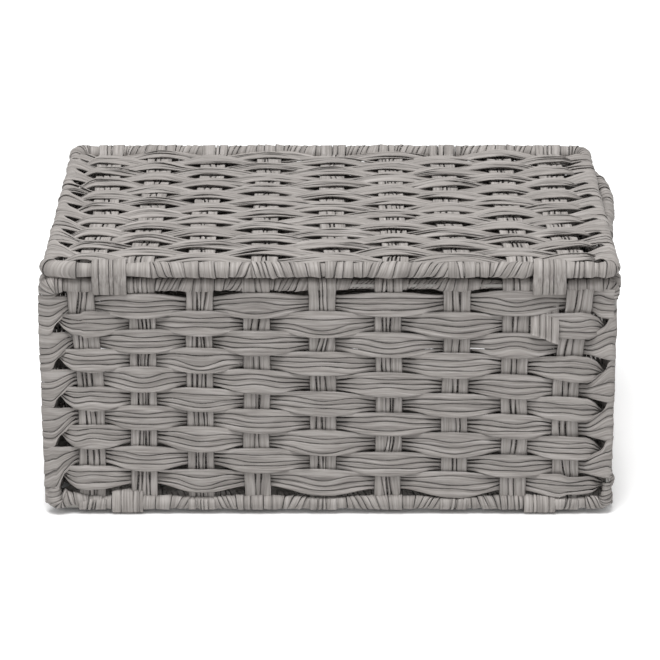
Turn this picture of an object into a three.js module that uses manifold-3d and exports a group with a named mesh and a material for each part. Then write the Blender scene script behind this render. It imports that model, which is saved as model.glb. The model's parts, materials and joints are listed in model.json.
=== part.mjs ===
// A folding storage basket: six wire-framed panels woven from flat paper strand,
// tied to one another with strand loops so that the walls fold flat.
// Millimetres, +Z up. The origin is on the ground under the middle of the basket,
// the wall that carries the lid is at -Y and the side that opens is at +Y.
import * as THREE from 'three';
import { mergeVertices } from 'three/addons/utils/BufferGeometryUtils.js';
import Module from 'manifold-3d';

const wasm = await Module();
wasm.setup();

// Outside sizes of the basket
const basket_w = 350;
const basket_d = 240;
const wall_h = 154;
const lid_side_inset = 1;

// Steel wire of the panel frames, and how tightly its corners are bent
const wire_r = 1.75;
const wire_bend_r = 5;
const wire_sides = 6;
const bend_steps = 2;

// Strand wrapped along the wire at a rim: fat where a stake folds over, slim between stakes
const rim_r = 5.1;
const rim_waist_r = 3.3;
const rim_swell_run = 0.8;
const rim_sides = 8;
const fit_gap = 0.3;
const turn_gap = 0.4;

// Stakes: flat strand bundles that run from rim to rim
const stake_w = 14;
const stake_t = 1.4;
const wall_stake_shares = [-0.426, -0.326, -0.227, -0.129, -0.014, 0.1, 0.217, 0.32, 0.409];
const end_stake_shares = [-0.39, -0.232, -0.08, 0.078, 0.236, 0.392];

// Weaver: one long flat bundle that runs row after row
const weaver_t = 1.6;
const weaver_float_w = 13.6;
const weaver_pinch_w = 9.4;
const weaver_plain_w = 11.2;
const weaver_fan_w = 15;
const float_slope_share = 0.58;
const first_row_drop = 13.2;
const last_row_rise = 14.8;
const row_pitch = 12.9;
const lid_rim_gap = 13;
const lid_row_pitch = 12;
const base_rows = 14;

// Strand loops: the flat ones of the lid and the base, and the ties of the corners
const loop_t = 0.8;
const loop_steps = 6;
const tie_t = 1.2;
const tie_h = 2;
const tie_steps = 4;

// Sizes that follow from the ones above
const flat_share = Math.cos(Math.PI / rim_sides);
const rim_flat_r = rim_r * flat_share;
const bore_r = (wire_r + fit_gap) / flat_share;
const hinge_pitch = rim_r + rim_flat_r + turn_gap;
const turn_share = Math.cos(Math.PI / 6);
const edge_path_r = (wire_r + fit_gap + weaver_t / 2) / turn_share;
const beside_n = stake_t / 2 + fit_gap + weaver_t / 2;
const float_n = beside_n / float_slope_share;

const steel = new THREE.MeshStandardMaterial({ color: 0x6d6a67, roughness: 0.45, metalness: 1 });
const stake_strand = new THREE.MeshStandardMaterial({ color: 0x98948f, roughness: 0.85, metalness: 0 });
const weaver_strand = new THREE.MeshStandardMaterial({ color: 0xa5a19c, roughness: 0.85, metalness: 0 });
const tie_strand = new THREE.MeshStandardMaterial({ color: 0xb0aca7, roughness: 0.85, metalness: 0 });

// Closed mesh through a row of rings with the same number of corners each
function skin(rings, closed) {
  const corners = rings[0].length;
  const positions = rings.flat().flatMap((p) => [p.x, p.y, p.z]);
  const index = [];
  const spans = closed ? rings.length : rings.length - 1;
  for (let i = 0; i < spans; i += 1) {
    const here = i * corners;
    const next = ((i + 1) % rings.length) * corners;
    for (let k = 0; k < corners; k += 1) {
      const turn = (k + 1) % corners;
      index.push(here + k, next + k, next + turn);
      index.push(here + k, next + turn, here + turn);
    }
  }
  if (!closed) {
    const last = (rings.length - 1) * corners;
    for (let k = 1; k < corners - 1; k += 1) {
      index.push(0, k, k + 1);
      index.push(last, last + k + 1, last + k);
    }
  }
  const geometry = new THREE.BufferGeometry();
  geometry.setAttribute('position', new THREE.Float32BufferAttribute(positions, 3));
  geometry.setIndex(index);
  return facing_out(geometry);
}

// Same mesh with its faces turned outwards
function facing_out(geometry) {
  const points = geometry.getAttribute('position');
  const index = geometry.getIndex();
  const [a, b, c] = [new THREE.Vector3(), new THREE.Vector3(), new THREE.Vector3()];
  let volume = 0;
  for (let i = 0; i < index.count; i += 3) {
    a.fromBufferAttribute(points, index.getX(i));
    b.fromBufferAttribute(points, index.getX(i + 1));
    c.fromBufferAttribute(points, index.getX(i + 2));
    volume += a.dot(b.cross(c));
  }
  if (volume < 0) {
    const flipped = [];
    for (let i = 0; i < index.count; i += 3) {
      flipped.push(index.getX(i), index.getX(i + 2), index.getX(i + 1));
    }
    geometry.setIndex(flipped);
  }
  return geometry;
}

// Strip along a flat path in X and Z, with its width along Y.
// Each station is { x, z, y, w }: the place, the height of its middle and its width.
function ribbon(stations, thickness, closed) {
  const count = stations.length;
  const rings = stations.map((station, i) => {
    const before = stations[closed ? (i + count - 1) % count : Math.max(i - 1, 0)];
    const after = stations[closed ? (i + 1) % count : Math.min(i + 1, count - 1)];
    const arrive = new THREE.Vector2(station.x - before.x, station.z - before.z);
    const leave = new THREE.Vector2(after.x - station.x, after.z - station.z);
    if (arrive.lengthSq() === 0) arrive.copy(leave);
    if (leave.lengthSq() === 0) leave.copy(arrive);
    arrive.normalize();
    leave.normalize();
    const along = arrive.clone().add(leave).normalize();
    const mitre = thickness / 2 / along.dot(leave);
    const side = new THREE.Vector2(-along.y, along.x).multiplyScalar(mitre);
    const corner = (sign, end) => new THREE.Vector3(
      station.x + sign * side.x, station.y + end * station.w / 2, station.z + sign * side.y);
    return [corner(1, 1), corner(1, -1), corner(-1, -1), corner(-1, 1)];
  });
  return skin(rings, closed);
}

// Frame of one panel: a closed rectangle of round wire with bent corners, in the XY plane
function wire_frame(half_w, height) {
  const bends = [
    [half_w - wire_bend_r, wire_bend_r, -0.5],
    [half_w - wire_bend_r, height - wire_bend_r, 0],
    [-half_w + wire_bend_r, height - wire_bend_r, 0.5],
    [-half_w + wire_bend_r, wire_bend_r, 1],
  ];
  const rings = [];
  for (const [x, y, start_turn] of bends) {
    for (let k = 0; k <= bend_steps; k += 1) {
      const angle = Math.PI * (start_turn + 0.5 * k / bend_steps);
      const out = new THREE.Vector3(Math.cos(angle), Math.sin(angle), 0);
      const centre = new THREE.Vector3(x, y, 0).addScaledVector(out, wire_bend_r);
      const ring = [];
      for (let s = 0; s < wire_sides; s += 1) {
        const round = 2 * Math.PI * s / wire_sides;
        const point = centre.clone().addScaledVector(out, wire_r * Math.cos(round));
        point.z += wire_r * Math.sin(round);
        ring.push(point);
      }
      rings.push(ring);
    }
  }
  return skin(rings, true);
}

function to_solid(geometry) {
  const bare = geometry.clone();
  bare.deleteAttribute('normal');
  bare.deleteAttribute('uv');
  const merged = facing_out(mergeVertices(bare, 1e-4));
  const vertProperties = Float32Array.from(merged.getAttribute('position').array);
  const triVerts = Uint32Array.from(merged.getIndex().array);
  return new wasm.Manifold(new wasm.Mesh({ numProp: 3, vertProperties, triVerts }));
}

function from_solid(solid) {
  const mesh = solid.getMesh();
  const geometry = new THREE.BufferGeometry();
  geometry.setAttribute('position', new THREE.BufferAttribute(mesh.vertProperties, 3));
  geometry.setIndex(new THREE.BufferAttribute(mesh.triVerts, 1));
  return geometry;
}

// Strand wrapped round a straight run of wire, with a swelling where each stake folds over it
function rim_wrap(half_length, swellings, y) {
  const outline = [[-half_length, bore_r], [-half_length, rim_waist_r]];
  for (const x of swellings) {
    outline.push([x - stake_w / 2 - rim_swell_run, rim_waist_r]);
    outline.push([x - stake_w / 2, rim_r]);
    outline.push([x + stake_w / 2, rim_r]);
    outline.push([x + stake_w / 2 + rim_swell_run, rim_waist_r]);
  }
  outline.push([half_length, rim_waist_r], [half_length, bore_r], [-half_length, bore_r]);
  const profile = outline.map(([x, r]) => new THREE.Vector2(r, x));
  const geometry = new THREE.LatheGeometry(profile, rim_sides);
  geometry.rotateY(Math.PI / rim_sides);
  geometry.rotateZ(-Math.PI / 2);
  geometry.translate(0, y, 0);
  return geometry;
}

// Stakes of one panel with the two rim wraps that they fold into, as one piece of strand
function stakes_and_rims(panel) {
  const wrap_half = panel.half_w - wire_bend_r;
  const low = rim_wrap(wrap_half, panel.low_swellings, 0);
  const high = rim_wrap(wrap_half, panel.high_swellings, panel.height);
  let solid = to_solid(low).add(to_solid(high));
  const sunk = (bore_r + rim_waist_r * flat_share) / 2;
  const length = panel.height - 2 * sunk;
  for (const x of panel.stakes) {
    const strip = new THREE.BoxGeometry(stake_w, length, stake_t);
    strip.translate(x, panel.height / 2, 0);
    solid = solid.add(to_solid(strip));
  }
  return from_solid(solid);
}

// Places where the weaver turns round a side wire, from one row down to the next
function turn_stations(wire_x, side, face, from_y, to_y) {
  const drop_shares = [0, 0.25, 0.75, 1];
  const widths = [weaver_pinch_w, weaver_fan_w, weaver_fan_w, weaver_pinch_w];
  return drop_shares.map((share, k) => {
    const angle = Math.PI * k / 3;
    return {
      x: wire_x + side * edge_path_r * Math.sin(angle),
      z: face * edge_path_r * Math.cos(angle),
      y: from_y + (to_y - from_y) * share,
      w: widths[k],
    };
  });
}

// The weaver of one panel: over and under the stakes, round the side wires, from top to bottom
function weaver(panel) {
  const stations = [];
  const count = panel.stakes.length;
  for (let row = 0; row < panel.rows; row += 1) {
    const y = panel.height - panel.first_drop - panel.pitch * row;
    const to_right = (row % 2 === 0) === (panel.start_side < 0);
    const order = to_right ? [...Array(count).keys()] : [...Array(count).keys()].reverse();
    const face = (i) => ((i + row) % 2 === 0 ? -1 : 1);
    const leading = to_right ? -1 : count;
    const trailing = to_right ? count : -1;
    const heading = to_right ? 1 : -1;
    if (row === 0) {
      const start = turn_stations(-heading * panel.half_w, -heading, -face(leading), y, y);
      stations.push(...start.slice(1).map((station) => ({ ...station, w: weaver_pinch_w })));
    }
    const wide = panel.pinched ? weaver_float_w : weaver_plain_w;
    const beside = (i, side) => ({
      x: panel.stakes[i] + side * (stake_w / 2 + fit_gap), z: face(i) * beside_n, y, w: weaver_plain_w });
    stations.push(beside(order[0], -heading));
    order.forEach((i, k) => {
      stations.push({ x: panel.stakes[i], z: face(i) * float_n, y, w: wide });
      if (panel.pinched && k < count - 1) {
        const middle = (panel.stakes[i] + panel.stakes[order[k + 1]]) / 2;
        stations.push({ x: middle, z: 0, y, w: weaver_pinch_w });
      }
    });
    stations.push(beside(order[count - 1], heading));
    const ends_here = row === panel.rows - 1;
    const next_y = ends_here ? y : y - panel.pitch;
    const turn = turn_stations(heading * panel.half_w, heading, face(trailing), y, next_y);
    if (ends_here) {
      stations.push(...turn.slice(0, 3).map((station) => ({ ...station, w: weaver_pinch_w })));
    } else {
      stations.push(...turn);
    }
  }
  return ribbon(stations, weaver_t, false);
}

function named_mesh(name, geometry, material) {
  const mesh = new THREE.Mesh(geometry, material);
  mesh.name = name;
  return mesh;
}

// One woven panel in its own XY plane: the middle of its low wire is at the origin, +Z is outside
function woven_panel(panel) {
  const group = new THREE.Group();
  group.add(named_mesh(`${panel.name}_wire`, wire_frame(panel.half_w, panel.height), steel));
  group.add(named_mesh(`${panel.name}_stakes`, stakes_and_rims(panel), stake_strand));
  group.add(named_mesh(`${panel.name}_weaver`, weaver(panel), weaver_strand));
  return group;
}

// Strand loop round two parallel wires, the first at the origin and the second at +X,
// with its width along Y
function strand_loop(path_r, thickness, width, steps) {
  const stations = [];
  for (let k = 0; k <= steps; k += 1) {
    const angle = Math.PI * (0.5 + k / steps);
    stations.push({ x: path_r * Math.cos(angle), z: path_r * Math.sin(angle), y: 0, w: width });
  }
  for (let k = 0; k <= steps; k += 1) {
    const angle = Math.PI * (1.5 + k / steps);
    stations.push({
      x: hinge_pitch + path_r * Math.cos(angle), z: path_r * Math.sin(angle), y: 0, w: width });
  }
  return ribbon(stations, thickness, true);
}

// Where the wires of the panels lie
const half_wire_x = basket_w / 2 - rim_flat_r;
const hinge_y = -basket_d / 2 + rim_flat_r;
const open_y = -hinge_y;
const end_wire_y = open_y - hinge_pitch;
const ground_wire_z = rim_flat_r;
const stacked_wire_z = ground_wire_z + hinge_pitch;
const top_wire_z = wall_h - rim_flat_r;
const lid_wire_z = top_wire_z + hinge_pitch;
const tall_height = top_wire_z - ground_wire_z;
const short_height = top_wire_z - stacked_wire_z;
const lid_depth = open_y - hinge_y;
const base_depth = open_y + end_wire_y;
const rows_in = (height) => Math.floor((height - first_row_drop - last_row_rise) / row_pitch) + 1;
const tall_wall_rows = rows_in(tall_height);
const short_wall_rows = rows_in(short_height);
const lid_rows = Math.floor((lid_depth - 2 * lid_rim_gap) / lid_row_pitch) + 1;
const odd = (list) => list.filter((_, i) => i % 2 === 0);
const even = (list) => list.filter((_, i) => i % 2 === 1);

const lid_w = basket_w - 2 * lid_side_inset;
const wall_stakes = wall_stake_shares.map((share) => share * basket_w);
const lid_stakes = wall_stake_shares.map((share) => share * lid_w);
const end_stakes = end_stake_shares.map((share) => share * 2 * end_wire_y);
const spread = (depth, rows) => (depth - first_row_drop - last_row_rise) / (rows - 1);

// A wall stands upright on its low wire and is turned about Z to face outwards
function wall(panel, x, y, z, quarter_turns) {
  const upright = woven_panel({ first_drop: first_row_drop, pitch: row_pitch, ...panel });
  upright.rotation.x = Math.PI / 2;
  const group = new THREE.Group();
  group.add(upright);
  group.rotation.z = quarter_turns * Math.PI / 2;
  group.position.set(x, y, z);
  return group;
}

const basket = new THREE.Group();

basket.add(wall({
  name: 'hinge_wall', half_w: half_wire_x, height: tall_height, rows: tall_wall_rows,
  stakes: wall_stakes, high_swellings: wall_stakes, low_swellings: odd(wall_stakes),
  start_side: 1, pinched: true,
}, 0, hinge_y, ground_wire_z, 0));

basket.add(wall({
  name: 'open_wall', half_w: half_wire_x, height: short_height, rows: short_wall_rows,
  stakes: wall_stakes, high_swellings: odd(wall_stakes), low_swellings: even(wall_stakes),
  start_side: 1, pinched: false,
}, 0, open_y, stacked_wire_z, 2));

basket.add(wall({
  name: 'left_end', half_w: end_wire_y, height: short_height, rows: short_wall_rows,
  stakes: end_stakes, high_swellings: odd(end_stakes), low_swellings: even(end_stakes),
  start_side: -1, pinched: false,
}, -half_wire_x, 0, stacked_wire_z, -1));

basket.add(wall({
  name: 'right_end', half_w: end_wire_y, height: short_height, rows: short_wall_rows,
  stakes: end_stakes, high_swellings: odd(end_stakes), low_swellings: even(end_stakes),
  start_side: -1, pinched: false,
}, half_wire_x, 0, stacked_wire_z, 1));

const base = woven_panel({
  name: 'base', half_w: half_wire_x, height: base_depth, rows: base_rows,
  first_drop: first_row_drop, pitch: spread(base_depth, base_rows),
  stakes: wall_stakes, high_swellings: odd(wall_stakes), low_swellings: even(wall_stakes),
  start_side: -1, pinched: false,
});
base.position.set(0, -end_wire_y, ground_wire_z);
basket.add(base);

const lid = woven_panel({
  name: 'lid', half_w: lid_w / 2 - rim_flat_r, height: lid_depth, rows: lid_rows,
  first_drop: lid_rim_gap, pitch: (lid_depth - 2 * lid_rim_gap) / (lid_rows - 1),
  stakes: lid_stakes, high_swellings: odd(lid_stakes), low_swellings: even(lid_stakes),
  start_side: -1, pinched: true,
});
lid.position.set(0, hinge_y, lid_wire_z);
basket.add(lid);

// Flat loops between the first two and the last two stakes of the hinge wall
const last_gap = wall_stakes.length - 2;
const loop_path_r = rim_waist_r + fit_gap + loop_t;

// The free run of rim beside stake i, which the wall's and the lid's stakes both leave
function free_rim(i) {
  const clear = stake_w / 2 + rim_swell_run + fit_gap;
  const left = Math.max(wall_stakes[i], lid_stakes[i]) + clear;
  const right = Math.min(wall_stakes[i + 1], lid_stakes[i + 1]) - clear;
  return { middle: (left + right) / 2, width: right - left };
}

function flat_loop(name, stake, z, upright) {
  const { middle, width } = free_rim(stake);
  const mesh = named_mesh(name, strand_loop(loop_path_r, loop_t, width, loop_steps), tie_strand);
  mesh.rotation.z = Math.PI / 2;
  const group = new THREE.Group();
  group.add(mesh);
  group.rotation.x = upright ? Math.PI / 2 : 0;
  group.position.set(middle, hinge_y, z);
  return group;
}

basket.add(flat_loop('lid_loop_left', 0, top_wire_z, true));
basket.add(flat_loop('lid_loop_right', last_gap, top_wire_z, true));
basket.add(flat_loop('base_loop_left', 0, ground_wire_z, false));
basket.add(flat_loop('base_loop_right', last_gap, ground_wire_z, false));

// Corner ties: each holds the side wire of a long wall to the side wire of an end wall
const tie_path_r = (wire_r + fit_gap + tie_t / 2) / Math.cos(Math.PI / 2 / tie_steps);
const top_tie_z = top_wire_z - (wire_bend_r + first_row_drop - weaver_pinch_w / 2) / 2;
const row_z = (row) => top_wire_z - first_row_drop - row_pitch * (row - 1);

function corner_tie(name, x, y, z, heading) {
  const mesh = named_mesh(name, strand_loop(tie_path_r, tie_t, tie_h, tie_steps), tie_strand);
  mesh.rotation.x = Math.PI / 2;
  const group = new THREE.Group();
  group.add(mesh);
  group.rotation.z = heading * Math.PI / 2;
  group.position.set(x, y, z);
  return group;
}

// The side wires are bare between an odd row and the next one where the weavers start,
// and between an even row and the next one at the other side
const low_start_row = short_wall_rows - 1 + short_wall_rows % 2;
const low_other_row = short_wall_rows - short_wall_rows % 2;
const corners = [
  { name: 'hinge_left', x: -half_wire_x, y: hinge_y, heading: 1, above_tie: low_other_row },
  { name: 'hinge_right', x: half_wire_x, y: hinge_y, heading: 1, above_tie: low_start_row },
  { name: 'open_left', x: -half_wire_x, y: open_y, heading: -1, above_tie: low_start_row },
  { name: 'open_right', x: half_wire_x, y: open_y, heading: -1, above_tie: low_other_row },
];
for (const corner of corners) {
  const { name, x, y, heading, above_tie } = corner;
  basket.add(corner_tie(`tie_${name}_top`, x, y, top_tie_z, heading));
  basket.add(corner_tie(`tie_${name}_low`, x, y, row_z(above_tie + 0.5), heading));
}

export default basket;
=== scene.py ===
# %% [markdown]
# # A folding storage basket of woven paper strand
# The real basket is six steel wire frames, each woven full of flat paper strand, tied to one
# another with loops of the same strand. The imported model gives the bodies, the hinges and the
# plain solids. This lesson dresses each solid with the strands that it stands for.

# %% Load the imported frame
import json
import math
import bpy
import numpy as np
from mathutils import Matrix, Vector

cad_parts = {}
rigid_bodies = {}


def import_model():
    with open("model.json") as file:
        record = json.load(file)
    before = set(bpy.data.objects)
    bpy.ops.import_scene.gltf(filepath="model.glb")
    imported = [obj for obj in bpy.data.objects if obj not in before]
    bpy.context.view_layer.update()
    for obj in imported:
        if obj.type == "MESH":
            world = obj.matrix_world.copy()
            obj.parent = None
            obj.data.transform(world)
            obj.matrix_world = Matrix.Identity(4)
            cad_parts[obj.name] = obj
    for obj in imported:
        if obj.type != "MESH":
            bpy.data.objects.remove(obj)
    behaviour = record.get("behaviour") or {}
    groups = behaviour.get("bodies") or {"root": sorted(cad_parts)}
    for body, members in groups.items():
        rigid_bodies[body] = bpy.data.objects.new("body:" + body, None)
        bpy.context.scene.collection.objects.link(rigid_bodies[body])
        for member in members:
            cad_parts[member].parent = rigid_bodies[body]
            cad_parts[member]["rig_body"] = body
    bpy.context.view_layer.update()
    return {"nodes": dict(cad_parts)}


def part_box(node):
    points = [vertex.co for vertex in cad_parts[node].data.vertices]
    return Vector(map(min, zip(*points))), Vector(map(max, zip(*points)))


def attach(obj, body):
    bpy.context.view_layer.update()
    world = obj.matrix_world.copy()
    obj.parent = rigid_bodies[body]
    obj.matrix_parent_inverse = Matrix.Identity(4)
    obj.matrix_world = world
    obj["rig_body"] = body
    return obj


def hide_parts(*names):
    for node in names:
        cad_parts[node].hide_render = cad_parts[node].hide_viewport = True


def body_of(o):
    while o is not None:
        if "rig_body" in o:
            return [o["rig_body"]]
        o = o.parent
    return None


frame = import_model()
MM = 0.001

# %% [markdown]
# ## Measures
# Every strand is placed from the same few numbers that the solids were made from: the outside
# of the basket, the wire, the fat rim wraps, and where stakes and rows sit in each panel. They
# could be read off the solids' boxes, but a box doesn't tell where the wire in it runs. From
# here on all lengths are millimetres, and they turn to metres when a mesh is made.

# %% Shared sizes
BASKET_W, BASKET_D, WALL_H = 350, 240, 154
WIRE_BEND, LID_INSET = 5, 1
RIM_R, TURN_GAP = 5.1, 0.4
RIM_FLAT = RIM_R * math.cos(math.pi / 8)
HINGE_PITCH = RIM_R + RIM_FLAT + TURN_GAP
FIRST_DROP, LAST_RISE, ROW_PITCH = 13.2, 14.8, 12.9
WALL_SHARES = np.array([-0.426, -0.326, -0.227, -0.129, -0.014, 0.1, 0.217, 0.32, 0.409])
END_SHARES = np.array([-0.39, -0.232, -0.08, 0.078, 0.236, 0.392])

half_wire = BASKET_W / 2 - RIM_FLAT
open_y = BASKET_D / 2 - RIM_FLAT
hinge_y = -open_y
end_wire_y = open_y - HINGE_PITCH
ground_z = RIM_FLAT
stacked_z = ground_z + HINGE_PITCH
top_z = WALL_H - RIM_FLAT
lid_z = top_z + HINGE_PITCH
lid_half = BASKET_W / 2 - LID_INSET - RIM_FLAT
print(f"hinge wires {HINGE_PITCH:.2f} mm apart, lid wire at {lid_z:.1f} mm")

# %% [markdown]
# ## One strand
# Paper strand is a ribbon of kraft paper, twisted and pressed flat, so it has rounded edges and
# long creases. A ribbon that follows two edge lines can be a curve with a bevel, a cloth or a
# lofted mesh. A loft is chosen, because its two edges can then be shared with the next strand.

# %% Cross-section of a strand
# Ten points round the ribbon: the share across it, how far each stands out of the middle plane,
# which of them crease, and how much painted shade each takes for lying on a narrow side.
ACROSS = np.array([0.0, 0.09, 0.34, 0.66, 0.91, 1.0, 0.91, 0.66, 0.34, 0.09])
PROUD = np.array([0.0, 0.78, 1.0, 1.0, 0.78, 0.0, -0.78, -1.0, -1.0, -0.78])
CREASED = np.array([0, 0, 1, 1, 0, 0, 0, 1, 1, 0])
FLANK_SHADE = 1 - np.abs(PROUD)
LEFT_ROLL, RIGHT_ROLL, LAST_OF_FRONT = [1, 9], [4, 6], 5
STRAND_T = 1.15
EDGE_ROLL, ROLL_MOST = 0.42, 0.3
CREASE_RUN, CREASE_WANDER, DENT_RUN = 14, 0.12, 11
THIN_SHARE, THIN_LEAST = 0.35, 0.15
CLOSING = 6
PATTERN_RUN, BACK_PATTERN = 40, 9.0
# The usual range of tone, and a darker one that paints shade on the rims of the walls and base.
LIGHT_TONE, RIM_SHADE_TONE = (0.35, 1.0), (0.0, 0.55)
print(f"{len(ACROSS)} points round a strand {STRAND_T} mm thick")


# %% Soft noise and the side a face looks to
def soft_noise(rng, length, step, low, high):
    """Smooth random values along a strand, one per station."""
    knots = max(int(length[-1] / step) + 2, 3)
    at = np.linspace(0, max(length[-1], 1e-6), knots)
    values = rng.uniform(low, high, knots)
    i = np.clip(np.searchsorted(at, length) - 1, 0, knots - 2)
    t = (length - at[i]) / (at[i + 1] - at[i])
    t = t * t * (3 - 2 * t)
    return values[i] * (1 - t) + values[i + 1] * t


def inside_out(points, quads):
    """Whether the quads face inwards, by the sign of the volume that they close."""
    mid = points.mean(0)
    a, b, c, d = (points[quads[:, k]] - mid for k in range(4))
    return (np.einsum("ij,ij->i", a, np.cross(b, c)).sum()
            + np.einsum("ij,ij->i", a, np.cross(c, d)).sum()) < 0


dice = np.random.default_rng(0)  # for a look at what a function gives
print("soft noise:", soft_noise(dice, np.array([0.0, 2.0, 4.0]), 4, -1, 1).round(2))

# %% Lofting strands between two edge lines
class Strands:
    """Many strands gathered into one mesh."""

    def __init__(self, seed, tone=LIGHT_TONE, side_shade=1.0):
        """The second argument is the range of tone that the strands take: random dye, and on the
        rims of the walls and base a darker range that is painted shade. The third is how dark the
        painted shade down their narrow sides may be.
        """
        self.rng = np.random.default_rng(seed)
        self.tone, self.side_shade = tone, side_shade
        self.points, self.faces, self.coords, self.flanks, self.count = [], [], [], [], 0

    def rings(self, left, right, up, thick, closed, crease):
        """Rings of points along a strand, their places across and along it, and its width."""
        rng, n = self.rng, len(left)
        middle = (left + right) / 2
        steps = np.linalg.norm(np.diff(middle, axis=0), axis=1)
        along = np.concatenate([[0], np.cumsum(steps)])
        width = np.linalg.norm(right - left, axis=1)
        roll = np.minimum(EDGE_ROLL / np.maximum(width, 1e-3), ROLL_MOST)
        across = np.repeat(ACROSS[None], n, 0)
        across[:, LEFT_ROLL] = roll[:, None]
        across[:, RIGHT_ROLL] = 1 - roll[:, None]
        depth = np.repeat(PROUD[None], n, 0)
        for j in np.nonzero(CREASED)[0]:
            across[:, j] += soft_noise(rng, along, CREASE_RUN, -CREASE_WANDER, CREASE_WANDER)
            depth[:, j] *= 1 - soft_noise(rng, along, DENT_RUN, 0, crease)
        if closed:
            fade = np.minimum(along, along[-1] - along) / (along[-1] / CLOSING)
            fade = np.clip(fade, 0, 1)[:, None]
            depth = PROUD[None] + (depth - PROUD[None]) * fade
        thin = np.minimum(thick / 2, THIN_SHARE * width + THIN_LEAST)
        rings = (left[:, None] * (1 - across[..., None]) + right[:, None] * across[..., None]
                 + up[:, None] * (depth * thin[:, None])[..., None])
        if closed:
            return rings[:-1], across[:-1], along[:-1], width[:-1]
        return rings, across, along, width

    def loft(self, left, right, up, thick=STRAND_T, closed=False, crease=0.45):
        """Adds one strand between its edge lines. Its face looks along up at each station."""
        rings, across, along, width = self.rings(left, right, up, thick, closed, crease)
        n, m = len(rings), len(ACROSS)
        here = np.arange(n if closed else n - 1)
        after = (here + 1) % n
        k = np.arange(m)
        beside = (k + 1) % m
        quads = np.stack([here[:, None] * m + k, after[:, None] * m + k,
                          after[:, None] * m + beside, here[:, None] * m + beside], -1)
        quads = quads.reshape(-1, 4)
        flat = rings.reshape(-1, 3)
        ends = [] if closed else [list(range(m))[::-1], list(range((n - 1) * m, n * m))]
        if inside_out(flat, quads):
            quads = quads[:, ::-1]
            ends = [e[::-1] for e in ends]
        self.points.append(flat)
        self.faces.extend((quads + self.count).tolist())
        self.faces.extend([[v + self.count for v in e] for e in ends])
        offset = self.rng.uniform(0, PATTERN_RUN)
        coords = np.zeros((n, m, 3))
        behind = np.where(k > LAST_OF_FRONT, BACK_PATTERN, 0.0)
        coords[..., 0] = across * width[:, None] + behind
        coords[..., 1] = along[:, None] + offset
        coords[..., 2] = self.rng.uniform(*self.tone)
        self.coords.append(coords.reshape(-1, 3))
        # Painted shade down the strand's narrow sides, weaker on some pieces.
        self.flanks.append(np.tile(FLANK_SHADE * self.side_shade, n))
        self.count += n * m

    def piece(self, name, body, nodes, material):
        """Makes the mesh, rides it on its body and lets it stand for the plain solids."""
        mesh = bpy.data.meshes.new(name)
        mesh.from_pydata((np.concatenate(self.points) * MM).tolist(), [], self.faces)
        layer = mesh.attributes.new("strand", "FLOAT_VECTOR", "POINT")
        layer.data.foreach_set("vector", np.concatenate(self.coords).astype(np.float32).ravel())
        # The painted shade down the sides goes to the material as an attribute.
        layer = mesh.attributes.new("flank", "FLOAT", "POINT")
        layer.data.foreach_set("value", np.concatenate(self.flanks).astype(np.float32))
        mesh.polygons.foreach_set("use_smooth", [True] * len(mesh.polygons))
        mesh.materials.append(material)
        ob = bpy.data.objects.new(name, mesh)
        bpy.context.collection.objects.link(ob)
        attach(ob, body)
        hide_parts(*nodes)
        print(f"{name}: {len(self.faces)} faces on {body}")


# %% [markdown]
# ## Finishes
# The strand is dyed kraft paper: matt, and each strand takes the dye a little differently. Its
# colour is also painted darker in its creases, which is painted shade mixed with streaks of tone,
# and the rims of the walls and base take a darker tone, which is painted shade too. Painted shade
# also lies in patches down a strand's narrow sides, in the grooves between strands, so a strand
# reads as one beside its neighbour. A picture of paper could be wrapped on, but noise that follows
# the attributes of the mesh stays sharp and never repeats. The frame is galvanised steel wire, of
# which only a little shows.

# %% Colours and the node helper
def linear(code):
    """An sRGB hex colour as linear RGBA."""
    parts = [int(code[i:i + 2], 16) / 255 for i in (1, 3, 5)]
    return tuple(c / 12.92 if c <= 0.04045 else ((c + 0.055) / 1.055) ** 2.4
                 for c in parts) + (1.0,)


def add(tree, kind, settings=None, **links):
    """Adds a node, with its settings and sockets. A socket given another socket is linked."""
    node = tree.nodes.new(kind)
    for key, value in (settings or {}).items():
        setattr(node, key, value)
    for key, value in links.items():
        name = key.replace("_", " ")
        socket = node.inputs[int(key[2:])] if key.startswith("in") and key[2:].isdigit() \
            else node.inputs[name]
        if isinstance(value, bpy.types.NodeSocket):
            tree.links.new(value, socket)
        else:
            socket.default_value = value
    return node


def new_material(name):
    material = bpy.data.materials.new(name)
    material.use_nodes = True
    material.node_tree.nodes.clear()
    return material, material.node_tree


print("a mid grey in linear light:", [round(c, 3) for c in linear("#808080")])

# %% Colours of the dyed kraft paper strand
# The attribute strand gives millimetres across and along, and a number of the strand's own. Each
# pattern is scaled by real lengths, and the strand's number moves it on by so many times itself.
# Tones of the streaks. The darker ones fall in the creases as painted shade.
STRAND_LIGHT, STRAND_MID, STRAND_DARK = "#b0aba8", "#98938f", "#7c7774"
CREASE_MM, STREAK_MM, CREASE_MOVE = 1.1, 26.0, 60.0
DYE_AND_SHADE_LEAST, DYE_AND_SHADE_MOST = 0.9, 1.1

paper, tree = new_material("dyed_kraft_paper_strand")
place = add(tree, "ShaderNodeAttribute", {"attribute_name": "strand"})
creases = add(tree, "ShaderNodeVectorMath", {"operation": "MULTIPLY"},
              in0=place.outputs["Vector"], in1=(1 / CREASE_MM, 1 / STREAK_MM, CREASE_MOVE))
streak = add(tree, "ShaderNodeTexNoise", Vector=creases.outputs[0], Scale=1.0, Detail=3.0,
             Roughness=0.55)
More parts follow.
